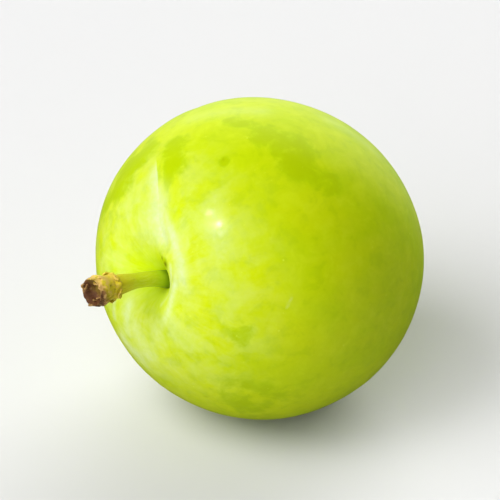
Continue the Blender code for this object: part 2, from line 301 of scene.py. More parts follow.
class Board:
    """The node board of one material or world."""

    MIX_SHARE = 0
    MIX_COLOURS = (6, 7)
    MIX_RESULT = 2

    def __init__(self, owner: bpy.types.ID) -> None:
        """Opens the owner's nodes."""
        owner.use_nodes = True
        self.tree = owner.node_tree

    def node(self, kind: str, settings: dict[str, object], inputs: dict[object, object]) -> bpy.types.Node:
        """Adds any node.

        Args:
            kind: The node's type.
            settings: Its settings, set first. A ramp takes its stops as "stops".
            inputs: The values or links of its sockets, by name or number.

        Returns:
            The new node.
        """
        made = self.tree.nodes.new(kind)
        for setting, value in settings.items():
            if setting == "stops":
                self._set_stops(made.color_ramp, value)
            else:
                setattr(made, setting, value)
        for socket, value in inputs.items():
            self.feed(made.inputs[socket], value)
        return made

    @staticmethod
    def _set_stops(ramp: bpy.types.ColorRamp, stops: list[tuple[float, Colour]]) -> None:
        """Gives a colour ramp its stops.

        Args:
            ramp: The node's ramp.
            stops: The place of each stop and its colour, in order.
        """
        while len(ramp.elements) < len(stops):
            ramp.elements.new(1.0)
        for element, (place, colour) in zip(ramp.elements, stops):
            element.position = place
            element.color = (*colour, 1.0)

    def feed(self, socket: bpy.types.NodeSocket, value: object) -> None:
        """Links a socket to another one, or sets its own value.

        Args:
            socket: The input to feed.
            value: A number or socket to link, or a plain value.
        """
        if isinstance(value, Number):
            self.tree.links.new(value.socket, socket)
        elif isinstance(value, bpy.types.NodeSocket):
            self.tree.links.new(value, socket)
        elif isinstance(value, tuple) and socket.type == "RGBA":
            socket.default_value = (*value, 1.0)
        else:
            socket.default_value = value

    def number(self, kind: str, settings: dict[str, object], inputs: dict[object, object]) -> Number:
        """Adds a node and returns its first result as a number."""
        return Number(self, self.node(kind, settings, inputs).outputs[0])

    def blend(self, share: object, first: object, second: object) -> bpy.types.NodeSocket:
        """Mixes two colours.

        Args:
            share: How much of the second colour shows.
            first: The colour underneath.
            second: The colour on top.

        Returns:
            The mixed colour's socket.
        """
        settings = {"data_type": "RGBA", "blend_type": "MIX", "clamp_factor": True}
        inputs = {self.MIX_SHARE: share, self.MIX_COLOURS[0]: first, self.MIX_COLOURS[1]: second}
        return self.node("ShaderNodeMix", settings, inputs).outputs[self.MIX_RESULT]

    def layered(self, colour: object, *layers: tuple[object, Colour]) -> object:
        """Lays colours over one another.

        Args:
            colour: The colour at the bottom.
            layers: How much of each next colour shows, and the colour itself.

        Returns:
            What they make together.
        """
        for share, top in layers:
            colour = self.blend(share, colour, top)
        return colour

    def vector(self, operation: str, first: object, second: object = (0.0, 0.0, 0.0)) -> bpy.types.NodeSocket:
        """Adds one Vector Math node and returns its vector."""
        return self.node("ShaderNodeVectorMath", {"operation": operation}, {0: first, 1: second}).outputs[0]

    def dot(self, first: object, second: object) -> Number:
        """The dot product of two vectors."""
        made = self.node("ShaderNodeVectorMath", {"operation": "DOT_PRODUCT"}, {0: first, 1: second})
        return Number(self, made.outputs["Value"])

    def parts(self, vector: object) -> tuple[Number, Number, Number]:
        """The three numbers in a vector."""
        made = self.node("ShaderNodeSeparateXYZ", {}, {0: vector})
        return tuple(Number(self, socket) for socket in made.outputs)

    def grain(self, place: object, scale: float, detail: float = 2.0, roughness: float = 0.5) -> Number:
        """Soft noise between about 0 and 1 at a place."""
        inputs = {"Vector": place, "Scale": scale, "Detail": detail, "Roughness": roughness}
        return self.number("ShaderNodeTexNoise", {}, inputs)

    def attribute(self, name: str) -> Number:
        """A number that the mesh holds at its points."""
        made = self.node("ShaderNodeAttribute", {"attribute_name": name}, {})
        return Number(self, made.outputs["Fac"])

    def place_in(self, axes: Matrix, size: float) -> bpy.types.NodeSocket:
        """The surface's place in other axes.

        Args:
            axes: Where those axes lie in the world.
            size: The length that counts as 1 there.

        Returns:
            The place's socket.
        """
        where = self.node("ShaderNodeTexCoord", {}, {}).outputs["Object"]
        turn = axes.to_euler("XYZ")
        inputs = {
            "Vector": where,
            "Location": tuple(axes.translation),
            "Rotation": tuple(turn),
            "Scale": (size, size, size),
        }
        return self.node("ShaderNodeMapping", {"vector_type": "TEXTURE"}, inputs).outputs[0]

    def bump(self, height: Number, depth: float) -> bpy.types.NodeSocket:
        """Turns a height between 0 and 1 into a normal.

        Args:
            height: The relief.
            depth: How high 1 is, in metres.

        Returns:
            The normal's socket.
        """
        inputs = {"Strength": 1.0, "Distance": depth, "Height": height}
        return self.node("ShaderNodeBump", {}, inputs).outputs[0]


def new_finish(name: str, constants: dict[str, object]) -> tuple[bpy.types.Material, Board, bpy.types.Node]:
    """Starts a material.

    Args:
        name: The material's name.
        constants: What stays the same all over the surface, by the shader's socket names.

    Returns:
        The material, its board and its Principled shader.
    """
    material = bpy.data.materials.new(name)
    board = Board(material)
    shader = board.tree.nodes["Principled BSDF"]
    for socket, value in constants.items():
        board.feed(shader.inputs[socket], value)
    return material, board, shader


@dataclass(frozen=True)
class StemCavity:
    """The hollow round the stem: a steep funnel inside a wide, shallow shoulder.

    The funnel's wall is gentler on one side, where the suture leaves it beside the lower cheek.
    """

    funnel_depth: float = 0.0035
    funnel_width: float = 0.00285
    funnel_steepness: float = 2.6
    gentle_side: Span = (-0.45, 0.893)
    gentle_falloff: float = 1.5
    gentle_widening: float = 0.35
    gentle_easing: float = 1.1
    shoulder_depth: float = 0.0011
    shoulder_width: float = 0.0057

    def funnel_share(self, way: Vector, from_stem: float) -> float:
        """How far down the funnel the skin is, from 0 outside to 1 at the stem.

        Args:
            way: The direction from the fruit's middle.
            from_stem: The distance over the skin from the stem.

        Returns:
            The share of the funnel's depth.
        """
        sideways = max(math.hypot(way.x, way.y), TINY)
        facing = (way.x * self.gentle_side[0] + way.y * self.gentle_side[1]) / sideways
        gentle = max(0.0, facing) ** self.gentle_falloff
        width = self.funnel_width * (1.0 + self.gentle_widening * gentle)
        return math.exp(-((from_stem / width) ** (self.funnel_steepness - self.gentle_easing * gentle)))

    def depth(self, way: Vector, from_stem: float) -> float:
        """How deep the cavity is, in this direction and at this distance over the skin from the stem."""
        shoulder = self.shoulder_depth * hump(from_stem, self.shoulder_width)
        return self.funnel_depth * self.funnel_share(way, from_stem) + shoulder


@dataclass(frozen=True)
class SutureGroove:
    """The bowed crease that runs out of the cavity, and the seam that carries it on to the blossom end."""

    groove_depth: float = 0.00130
    steep_width: float = 0.0019
    gentle_width: float = 0.0036
    edge: float = 0.0003
    tip_share: float = 0.40
    start: float = 0.0012
    full: float = 0.0045
    fades: float = 0.0042
    ends: float = 0.0155
    bow_height: float = 0.0034
    bow_starts: float = 0.0190
    bow_full: float = 0.0088
    last_turn: float = 0.0006
    last_turn_starts: float = 0.0055
    last_turn_full: float = 0.0025
    swell: float = 0.00025
    swell_place: float = 0.0036
    swell_width: float = 0.0024
    seam_depth: float = 0.00010
    seam_width: float = 0.0009
    seam_starts: float = 0.2
    seam_full: float = 0.5

    def bow(self, along: float) -> float:
        """How far the suture bows towards the fuller cheek."""
        turn_in = self.last_turn * smooth_step(self.last_turn_starts, self.last_turn_full, along)
        return self.bow_height * smooth_step(self.bow_starts, self.bow_full, along) + turn_in

    def length_share(self, along: float) -> float:
        """How much of its depth the groove has here: none in the cavity's floor and none past its tip."""
        return rise_and_fall(self.start, self.full, self.fades, self.ends, along)

    def crease(self, across: float, along: float) -> float:
        """The V of the groove: 1 at its bottom, with a steep wall under the fuller cheek.

        Args:
            across: The distance across from the suture, positive towards the fuller cheek.
            along: The distance along it from the stem.

        Returns:
            The share of the groove's depth here.
        """
        width = self.steep_width if across > 0.0 else self.gentle_width
        width *= 1.0 - (1.0 - self.tip_share) * smooth_step(self.fades, self.ends, along)
        return math.exp((self.edge - math.hypot(across, self.edge)) / width)

    def depth(self, across: float, along: float) -> float:
        """How deep the groove is, less the swell of the fuller cheek beside it."""
        raised = self.swell * hump(across - self.swell_place, self.swell_width)
        return self.length_share(along) * (self.groove_depth * self.crease(across, along) - raised)

    def seam(self, across: float, from_stem: float, from_blossom: float, radius: float) -> float:
        """How deep the faint seam is that runs on to the blossom end. Its ends are shares of the radius.

        Args:
            across: The distance across from the suture.
            from_stem: The distance over the skin from the stem.
            from_blossom: The distance over the skin from the blossom end.
            radius: The fruit's mean radius.

        Returns:
            The depth.
        """
        leaves_stem = smooth_step(self.seam_starts * radius, self.seam_full * radius, from_stem)
        ends = leaves_stem * smooth_step(0.0, self.seam_starts * radius, from_blossom)
        return self.seam_depth * ends * hump(across, self.seam_width)


@dataclass(frozen=True)
class Valley:
    """The shallow valley that leaves the cavity on the side away from the suture."""

    full_depth: float = 0.00025
    width: float = 0.0022
    turn: float = math.radians(28.0)
    starts: float = 0.0016
    full: float = 0.0040
    fades: float = 0.0052
    ends: float = 0.0098

    def depth(self, across: float, along: float) -> float:
        """How deep the valley is here.

        Args:
            across: The distance towards the fuller cheek.
            along: The distance towards the suture.

        Returns:
            The depth.
        """
        sideways = across * math.cos(self.turn) - along * math.sin(self.turn)
        outward = -across * math.sin(self.turn) - along * math.cos(self.turn)
        share = rise_and_fall(self.starts, self.full, self.fades, self.ends, outward)
        return self.full_depth * share * hump(sideways, self.width)


@dataclass(frozen=True)
class BlossomEnd:
    """The dimple opposite the stem, with a little scar standing in it."""

    dimple_depth: float = 0.00070
    dimple_width: float = 0.0030
    scar_height: float = 0.00035
    scar_width: float = 0.0007

    def depth(self, from_blossom: float) -> float:
        """How deep the skin lies here."""
        dimple = self.dimple_depth * hump(from_blossom, self.dimple_width)
        return dimple - self.scar_height * hump(from_blossom, self.scar_width)


@dataclass(frozen=True)
class FruitForm:
    """The fruit's skin as one formula in its own axes, and how the fruit lies."""

    mean_radius: float = 0.0190
    cheek_share: float = 0.992
    suture_share: float = 0.988
    axis_share: float = 1.002
    lean: float = 0.039
    shoulders: float = 0.028
    stem_rise: float = math.radians(14.0)
    suture_roll: float = math.radians(36.8)
    rest_spot_radius: float = 0.0040
    cavity: StemCavity = StemCavity()
    suture: SutureGroove = SutureGroove()
    valley: Valley = Valley()
    blossom: BlossomEnd = BlossomEnd()

    def body_radius(self, way: Vector) -> float:
        """The radius of the plain body, before anything is pressed into it.

        Args:
            way: The direction from the fruit's middle.

        Returns:
            The radius.
        """
        cheek = way.x / self.cheek_share
        suture = way.y / self.suture_share
        axis = way.z / self.axis_share
        ellipsoid = self.mean_radius / math.sqrt(cheek**2 + suture**2 + axis**2)
        return ellipsoid * (1.0 + self.lean * way.y * way.z + self.shoulders * way.z * (1.0 - way.z**2))

    def from_stem(self, way: Vector) -> float:
        """The distance over the skin from the stem."""
        return self.mean_radius * math.acos(max(-1.0, min(1.0, way.z)))

    def from_suture(self, way: Vector) -> float:
        """The distance across from the bowed suture, positive towards the fuller cheek."""
        return self.mean_radius * way.x - self.suture.bow(self.mean_radius * way.y)

    def radius(self, way: Vector) -> float:
        """The distance from the fruit's middle to its skin, in this direction.

        Args:
            way: The direction from the fruit's middle.

        Returns:
            The distance.
        """
        from_stem = self.from_stem(way)
        from_blossom = math.pi * self.mean_radius - from_stem
        across = self.mean_radius * way.x
        along = self.mean_radius * way.y
        radius = self.body_radius(way) - self.cavity.depth(way, from_stem) - self.blossom.depth(from_blossom)
        if way.y > 0.0:
            radius -= self.suture.seam(self.from_suture(way), from_stem, from_blossom, self.mean_radius)
        if way.z > 0.0:
            radius -= self.suture.depth(self.from_suture(way), along) + self.valley.depth(across, along)
        return radius

    def cavity_floor(self) -> float:
        """The height of the cavity's floor on the stem's axis, from the fruit's middle."""
        return self.radius(Vector((0.0, 0.0, 1.0)))

    def turned(self) -> Matrix:
        """Lays the fruit down about its middle: stem towards -Y, suture rolled towards -X."""
        tilt = Matrix.Rotation(math.pi / 2.0 - self.stem_rise, 4, "X")
        return tilt @ Matrix.Rotation(self.suture_roll, 4, "Z")

    def rest_height(self) -> float:
        """The height of the fruit's middle over the flat spot."""
        down = (self.turned().inverted() @ Vector((0.0, 0.0, -1.0))).normalized()
        return math.sqrt(self.radius(down) ** 2 - self.rest_spot_radius**2)

    def axes(self) -> Matrix:
        """Where the fruit's own axes lie in the world."""
        return Matrix.Translation((0.0, 0.0, self.rest_height())) @ self.turned()


@dataclass(frozen=True)
class Streak:
    """A streak or patch on the skin: a chain of stops that fades away on both sides.

    Each stop holds a direction from the fruit's middle, the streak's half width there in millimetres, and how
    strongly it shows there.
    """

    stops: tuple[Stop, ...]

    REACH_PER_MM = 0.12

    @cached_property
    def links(self) -> list[tuple[Vector, Vector, Span, Span]]:
        """The chain's links: where each starts, how it runs, and the stops at its two ends.

        Returns:
            One entry for each link. A chain of one stop has one link without length.
        """
        ends = self.stops[1:] or self.stops
        made = []
        for near, far in zip(self.stops, ends):
            start = Vector(near[:3])
            made.append((start, Vector(far[:3]) - start, near[3:], far[3:]))
        return made

    @cached_property
    def far_from(self) -> tuple[Vector, float]:
        """The chain's middle, and how far from it nothing shows any more, in mean radii.

        Returns:
            The middle and that distance.
        """
        middle = sum((start for start, *rest in self.links), Vector()) / len(self.links)
        spread = max((Vector(stop[:3]) - middle).length for stop in self.stops)
        return middle, spread + self.REACH_PER_MM * max(stop[3] for stop in self.stops)

    def shows(self, way: Vector, radius: float) -> float:
        """How strongly the streak shows.

        Args:
            way: The direction from the fruit's middle.
            radius: The fruit's mean radius.

        Returns:
            0 away from the streak, up to its own strength along its middle.
        """
        middle, reach = self.far_from
        if (way - middle).length > reach:
            return 0.0
        most = 0.0
        for start, run, near, far in self.links:
            share = min(max((way - start).dot(run) / max(run.length_squared, TINY_SQUARE), 0.0), 1.0)
            half_width = (near[0] + (far[0] - near[0]) * share) / MM_PER_METRE
            strength = near[1] + (far[1] - near[1]) * share
            most = max(most, strength * hump((way - start - run * share).length * radius, half_width))
        return most


def streaks(*chains: tuple[Stop, ...]) -> tuple[Streak, ...]:
    """Makes a streak of each chain of stops."""
    return tuple(Streak(chain) for chain in chains)


@dataclass(frozen=True)
class WaxAndLightWedge:
    """The pale wedge of wax in the groove: narrow at its tip, wide and fainter on the gentle side by the
    cavity; its strip on the steep side is painted light on the shaded wall under the fuller cheek.
    """

    tip: Span = (0.0136, 0.0118)
    foot: Span = (0.0022, 0.0050)
    steep_side: Span = (0.0112, 0.0080)
    steep_strength: float = 0.95
    steep_width: float = 0.0015
    narrow_strength: float = 0.48
    narrow_width: float = 0.0010
    wide_strength: float = 0.50
    tip_width: float = 0.0003
    widening: float = 0.62
    widens_from: float = 0.0122

    def shows(self, across: float, along: float) -> float:
        """How strongly the wedge shows, across from the bowed suture and along it.

        Args:
            across: The distance across from the suture, positive towards the fuller cheek.
            along: The distance along it from the stem.

        Returns:
            0 outside the wedge, up to about 1 in its middle.
        """
        ends = smooth_step(*self.tip, along) * smooth_step(*self.foot, along)
        # painted light: the steep wall under the fuller cheek is painted pale to lift its shade
        if across > 0.0:
            ends *= smooth_step(*self.steep_side, along)
            return ends * self.steep_strength * hump(across, self.steep_width)
        width = self.tip_width + self.widening * max(self.widens_from - along, 0.0)
        narrow = self.narrow_strength * hump(across, self.narrow_width)
        return ends * (narrow + self.wide_strength * hump(across, width))


@dataclass(frozen=True)
class SkinMarks:
    """The streaks and patches that this plum's skin shows, some of them painted light and painted shade."""

    wedge: WaxAndLightWedge = WaxAndLightWedge()
    wax_and_painted_light: tuple[Streak, ...] = streaks(
        # Whitish streaks along the groove's edge and round the cavity's lip: wax, and painted light on the
        # edges that face the light.
        (
            (0.235, 0.417, 0.878, 0.45, 0.4), (0.268, 0.300, 0.915, 0.60, 0.9),
            (0.306, 0.176, 0.935, 0.75, 1.0), (0.322, 0.052, 0.945, 0.85, 1.0),
            (0.308, -0.044, 0.951, 0.85, 0.8), (0.307, -0.130, 0.943, 0.80, 0.4),
        ),
        (
            (0.248, 0.050, 0.968, 0.25, 0.8), (0.220, -0.020, 0.975, 0.22, 1.0),
            (0.170, -0.085, 0.982, 0.20, 1.0), (0.098, -0.132, 0.986, 0.20, 1.0),
            (0.015, -0.172, 0.985, 0.25, 0.7),
        ),
        (
            (0.275, -0.020, 0.961, 0.40, 0.5), (0.236, -0.075, 0.969, 0.50, 1.0),
            (0.168, -0.145, 0.975, 0.52, 1.0), (0.122, -0.205, 0.971, 0.55, 0.9),
            (0.067, -0.254, 0.965, 0.60, 0.7), (-0.003, -0.300, 0.954, 0.60, 0.4),
        ),
        ((0.093, -0.287, 0.953, 1.60, 0.30), (0.109, -0.408, 0.906, 1.50, 0.15)),
        # The streaks below and to the left of the stem are wax, and some are made stronger as painted light,
        # lifting the stem's shadow and the lower left side.
        ((-0.231, -0.102, 0.968, 0.55, 0.7), (-0.360, -0.250, 0.899, 0.75, 0.7)),
        ((-0.050, -0.330, 0.942, 0.90, 0.35), (-0.210, -0.400, 0.892, 0.90, 0.45)),
        ((-0.330, -0.020, 0.944, 0.35, 0.6), (-0.450, -0.140, 0.882, 0.45, 0.7)),
        ((-0.230, -0.210, 0.950, 0.80, 0.4), (-0.252, -0.407, 0.878, 1.80, 0.6)),
        (
            (-0.430, -0.250, 0.867, 1.00, 0.5), (-0.471, -0.292, 0.832, 1.30, 0.8),
            (-0.380, -0.430, 0.819, 1.6, 0.5),
        ),
        # painted highlight: a pale glow round the lamps' highlight
        (
            (0.557, 0.344, 0.756, 1.10, 0.25), (0.578, 0.180, 0.796, 1.30, 0.40),
            (0.555, 0.025, 0.832, 1.2, 0.25),
        ),
        # Pale bands along the top and the upper right edge: wax and a painted reflection of the bright
        # surroundings.
        ((0.198, 0.883, 0.426, 1.40, 0.25), (0.536, 0.824, 0.186, 1.20, 0.30)),
        ((0.684, 0.695, -0.220, 1.30, 0.30), (0.788, 0.439, -0.431, 1.00, 0.25)),
        ((0.770, -0.330, 0.545, 0.12, 0.36), (0.735, -0.375, 0.565, 0.10, 0.36)),
    )
    bare_and_shade: tuple[Streak, ...] = streaks(
        (
            (0.226, 0.732, 0.642, 1.50, 0.8), (0.262, 0.628, 0.736, 1.75, 1.0),
            (0.263, 0.535, 0.806, 1.20, 0.8),
        ),
        (
            (-0.031, 0.778, 0.628, 2.0, 0.7), (-0.140, 0.700, 0.700, 2.8, 0.8),
            (-0.206, 0.590, 0.780, 2.6, 0.8),
        ),
        ((-0.206, 0.590, 0.780, 2.6, 0.7), (-0.349, 0.525, 0.776, 2.0, 0.5)),
        ((0.682, 0.648, 0.339, 1.9, 0.8), (0.824, 0.496, 0.274, 2.6, 0.8), (0.948, 0.261, 0.184, 1.8, 0.35)),
        ((0.444, 0.807, 0.390, 0.9, 0.6), (0.585, 0.740, 0.332, 1.0, 0.6)),
        ((0.573, 0.551, 0.606, 0.60, 1.0),),
        # painted shade: a darker green patch on the cavity's wall above the stem, where the wall lies in shade
        ((0.110, 0.120, 0.987, 0.90, 0.9), (0.180, 0.080, 0.980, 0.70, 1.0)),
        ((0.486, -0.455, 0.742, 2.0, 0.4),),
        # a broad patch that makes the bottom greener and darker
        ((0.130, -0.850, 0.510, 5.0, 0.42),),
    )
    spots_and_shade: tuple[Streak, ...] = streaks(
        ((0.198, 0.066, 0.978, 0.36, 1.0),),
        ((0.166, 0.112, 0.980, 0.26, 0.8),),
        # painted shade: a dark line in the gap between the stem's root and the cavity's lip
        ((0.150, -0.045, 0.987, 0.28, 0.6), (0.095, -0.100, 0.990, 0.22, 0.5)),
        ((0.560, 0.562, 0.608, 0.16, 0.35),),
        ((-0.100, -0.760, 0.645, 0.16, 0.6),),
        ((-0.850, 0.300, 0.430, 0.20, 0.6),),
    )

    @staticmethod
    def strongest(streaks: tuple[Streak, ...], way: Vector, radius: float) -> float:
        """The strongest of several streaks in this direction."""
        return max(streak.shows(way, radius) for streak in streaks)


@dataclass(frozen=True)
class SkinFinish:
    """Satin, yellow-green skin with a thin, uneven film of wax, pale dots and fine streaks. It also carries
    painted light and shade: sheen where the light falls, a brighter cavity and darker patches in shaded places.

    A scale says how fine a pattern is over the fruit's mean radius. A span says where a pattern starts to
    count and where it counts fully.
    """

    green: Colour = (0.385, 0.535, 0.0)
    yellow: Colour = (0.500, 0.585, 0.002)
    deep: Colour = (0.315, 0.455, 0.0)
    pale: Colour = (0.530, 0.640, 0.012)
    # the pale colour of the wax bloom, also used for painted sheen and painted light
    wax_and_sheen: Colour = (0.55, 0.64, 0.43)
    dot: Colour = (0.62, 0.71, 0.06)
    scar: Colour = (0.30, 0.22, 0.07)
    # the green of bare patches, also used for painted shade on the cavity's wall
    fresh_green_and_shade: Colour = (0.350, 0.460, 0.0)
    # painted light: the stem cavity is coloured a brighter green than the skin, to lift the shade inside it
    pit_with_painted_light: Colour = (0.550, 0.720, 0.0)
    # dark olive for the small spots, also used for painted shade between the stem's root and the cavity's lip
    spot: Colour = (0.10, 0.12, 0.0)

    wander_scale: float = 4.0
    wander: Triple = (0.16, 0.16, 0.16)
    pole_width: float = 0.02
    streak_draw: float = 0.22
    streak_scale: float = 9.0
    streak_span: Span = (0.42, 0.66)
    broad_scale: float = 2.6
    blotch_scale: float = 6.5
    mottle_scale: float = 11.0
    speckle_scale: float = 34.0

    yellow_span: Span = (0.30, 0.70)
    stem_side_span: Span = (-0.55, 0.95)
    yellow_in_clouds: float = 0.35
    yellow_in_streaks: float = 0.12
    yellow_at_stem: float = 0.45
    yellow_in_hollow: float = 0.5
    green_where_bare: float = 0.9
    deep_span: Span = (0.50, 0.68)
    deep_share: float = 0.34
    pale_span: Span = (0.50, 0.32)
    pale_share: float = 0.30

    bare_strength: float = 1.3
    bare_unevenness: float = 1.7
    bare_rim: Span = (0.0, 0.3)
    bare_span: Span = (0.12, 0.90)
    bare_share: float = 0.70

    film_blotch_span: Span = (0.36, 0.70)
    film_speckle_span: Span = (0.40, 0.70)
    # the film gathers on the stem's side, where the light falls: painted sheen as well as bloom
    sheen_axis_span: Span = (0.45, 0.98)
    film_in_blotches: float = 0.60
    film_in_speckle: float = 0.10
    film_in_streaks: float = 0.16
    film_at_blossom: float = 0.03
    film_share: float = 0.28
    wax_evenness: float = 0.55
    wax_speckle: float = 0.9
    wax_and_light_share: float = 0.46

    dot_size: float = 0.075
    dot_unevenness: float = 1.4
    dot_edge: Span = (1.5, 0.4)
    dot_scale: float = 11.0
    small_dot_scale: float = 17.0
    small_dot_share: float = 0.7
    dot_share: float = 0.42
    scar_span: Span = (0.99925, 0.99985)
    scar_share: float = 0.85

    roughness: float = 0.42
    coat: float = 0.20
    coat_span: Span = (0.985, 0.90)
    dulled_by_wax: float = 0.3
    dulled_by_speckle: float = 0.06
    dulled_by_scar: float = 0.2
    peel_scale: float = 17.0
    peel_share: float = 0.75
    fine_peel_scale: float = 60.0
    fine_peel_share: float = 0.12
    dot_relief: float = 0.10
    peel_depth: float = 0.000045

    def _dots(self, board: Board, way: object, scale: float) -> Number:
        """Scattered round dots of unequal size, 1 in their middles.

        Args:
            board: The skin's board.
            way: The direction from the fruit's middle.
            scale: How fine the scatter is.

        Returns:
            The dots.
        """
        cells = board.node("ShaderNodeTexVoronoi", {}, {"Vector": way, "Scale": scale, "Randomness": 1.0})
        distance = Number(board, cells.outputs["Distance"])
        chance = board.parts(cells.outputs["Color"])[0]
        edge = [self.dot_size * share for share in self.dot_edge]
        return (distance + (1.0 - chance) * self.dot_size * self.dot_unevenness).rise(*edge)

    def material(self, form: FruitForm) -> bpy.types.Material:
        """Makes the skin's material.

        Args:
            form: The fruit, whose axes the pattern follows.

        Returns:
            The material.
        """
        constants = {
            "Metallic": 0.0,
            "IOR": 1.40,
            "Specular IOR Level": 0.11,
            "Specular Tint": (1.0, 1.0, 0.40),
            "Subsurface Weight": 0.14,
            "Subsurface Radius": (1.0, 0.9, 0.05),
            "Subsurface Scale": 0.0014,
            "Coat Roughness": 0.14,
            "Coat IOR": 1.45,
        }
        material, board, shader = new_finish("waxy_green_skin", constants)
        way = board.vector("NORMALIZE", board.place_in(form.axes(), form.mean_radius))
        inputs = {"Vector": way, "Scale": self.wander_scale, "Detail": 2.0}
        drift = board.node("ShaderNodeTexNoise", {}, inputs).outputs["Color"]
        drift = board.vector("SUBTRACT", drift, (0.5, 0.5, 0.5))
        wandering = board.vector("ADD", way, board.vector("MULTIPLY", drift, self.wander))

        east, north, axis = board.parts(way)
        girth = (east * east + north * north) ** 0.5 + self.pole_width
        drawn_out = {0: east / girth, 1: north / girth, 2: axis * self.streak_draw}
        meridian = board.node("ShaderNodeCombineXYZ", {}, drawn_out).outputs[0]
        streaks = board.grain(meridian, self.streak_scale, 3.0, 0.6).rise(*self.streak_span)

        clouds = board.grain(wandering, self.broad_scale, 2.0)
        blotches = board.grain(wandering, self.blotch_scale, 3.0, 0.55)
        mottle = board.grain(wandering, self.mottle_scale, 3.0, 0.6)
        speckle = board.grain(way, self.speckle_scale, 2.0)
        cavity = board.attribute("cavity")
        bare_and_shade = board.attribute("bare_and_shade")
        unevenness = (blotches + mottle - 1.0) * self.bare_unevenness * bare_and_shade.rise(*self.bare_rim)
        bare_and_shade = (bare_and_shade * self.bare_strength + unevenness).rise(*self.bare_span)

        yellowing = clouds.rise(*self.yellow_span) * self.yellow_in_clouds + streaks * self.yellow_in_streaks
        yellowing = yellowing + axis.rise(*self.stem_side_span) * self.yellow_at_stem
        yellowing = yellowing + board.attribute("hollow") * self.yellow_in_hollow
        yellowing = yellowing - bare_and_shade * self.green_where_bare

        bloom_and_sheen = blotches.rise(*self.film_blotch_span) * self.film_in_blotches
        bloom_and_sheen = bloom_and_sheen + speckle.rise(*self.film_speckle_span) * self.film_in_speckle
        bloom_and_sheen = bloom_and_sheen + streaks * self.film_in_streaks
        # painted sheen as well as bloom: the film is kept to the stem's side, which faces the light
        sheen_on_stem_side = self.film_at_blossom + axis.rise(*self.sheen_axis_span) * (1.0 - self.film_at_blossom)
        bloom_and_sheen = bloom_and_sheen * (1.0 - bare_and_shade) * (1.0 - cavity) * sheen_on_stem_side
        # wax streaks, some of them painted light, a painted highlight glow and a painted reflection
        streaked_wax_and_light = board.attribute("wax_and_painted_light") * (self.wax_evenness + speckle * self.wax_speckle)
        bloom_and_sheen = (bloom_and_sheen * self.film_share + streaked_wax_and_light * self.wax_and_light_share).clamped()

        small_dots = self._dots(board, wandering, self.small_dot_scale) * self.small_dot_share
        dots = self._dots(board, way, self.dot_scale).larger(small_dots) * (1.0 - cavity)
        at_scar = (axis * -1.0).rise(*self.scar_span)
        colour = board.layered(
            self.green,
            (yellowing.clamped(), self.yellow),
            (mottle.rise(*self.deep_span) * self.deep_share, self.deep),
            (mottle.rise(*self.pale_span) * self.pale_share, self.pale),
            # bare patches, and painted shade on the cavity's wall
            (bare_and_shade * self.bare_share, self.fresh_green_and_shade),
            # painted light: the cavity is coloured brighter to lift its shade
            (cavity, self.pit_with_painted_light),
            # wax bloom, with painted sheen and painted light
            (bloom_and_sheen, self.wax_and_sheen),
            (dots * self.dot_share, self.dot),
            # dark spots, and painted shade between the stem's root and the cavity's lip
            (board.attribute("spot"), self.spot),
            (at_scar * self.scar_share, self.scar),
        )

        roughness = self.roughness + bloom_and_sheen * self.dulled_by_wax + speckle * self.dulled_by_speckle
        coat = self.coat - bloom_and_sheen * self.dulled_by_wax + speckle * self.dulled_by_speckle
        coat = coat * (1.0 - at_scar) * axis.rise(*self.coat_span)
        peel = board.grain(way, self.peel_scale, 1.0) * self.peel_share
        peel = peel + board.grain(way, self.fine_peel_scale, 2.0) * self.fine_peel_share
        peel = peel + dots * self.dot_relief
        board.feed(shader.inputs["Base Color"], colour)
        board.feed(shader.inputs["Roughness"], roughness + at_scar * self.dulled_by_scar)
        board.feed(shader.inputs["Coat Weight"], coat.clamped())
        board.feed(shader.inputs["Normal"], board.bump(peel, self.peel_depth))
        return material


